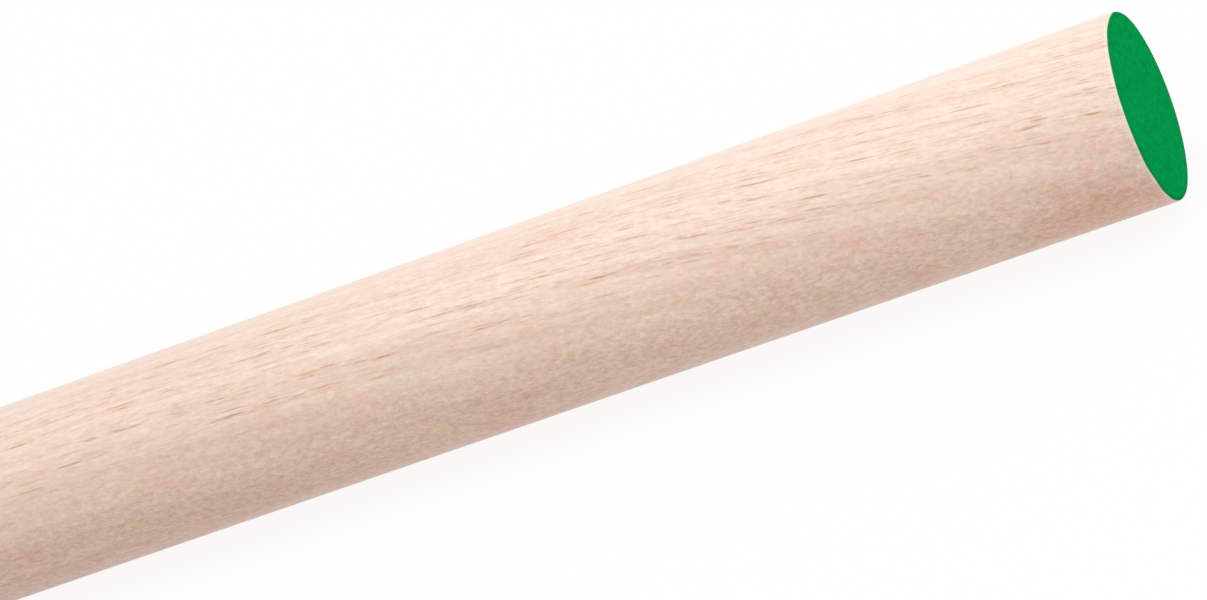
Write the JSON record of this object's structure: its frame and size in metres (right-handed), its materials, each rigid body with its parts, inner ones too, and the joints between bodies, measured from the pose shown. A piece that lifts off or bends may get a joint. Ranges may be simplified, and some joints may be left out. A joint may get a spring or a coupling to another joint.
{
  "type": "hardwood dowel rod",
  "caption": "Straight round hardwood rod for pins, rails and handles, sawn square with lightly eased rims and painted at an end as a colour code for its diameter.",
  "frame": {"origin": "on the rod's axis, half way along the wood", "axes": "+X along the axis towards the painted end; the rod is round, so +Y and +Z are any two square directions across it"},
  "size_m": [0.9145, 0.0254, 0.0254],
  "materials": {
    "wood": "bare, machined and sanded",
    "paint": "satin paint on end grain"
  },
  "bodies": {
    "root": {"rod": "wood", "end_paint": "paint"}
  },
  "joints": []
}
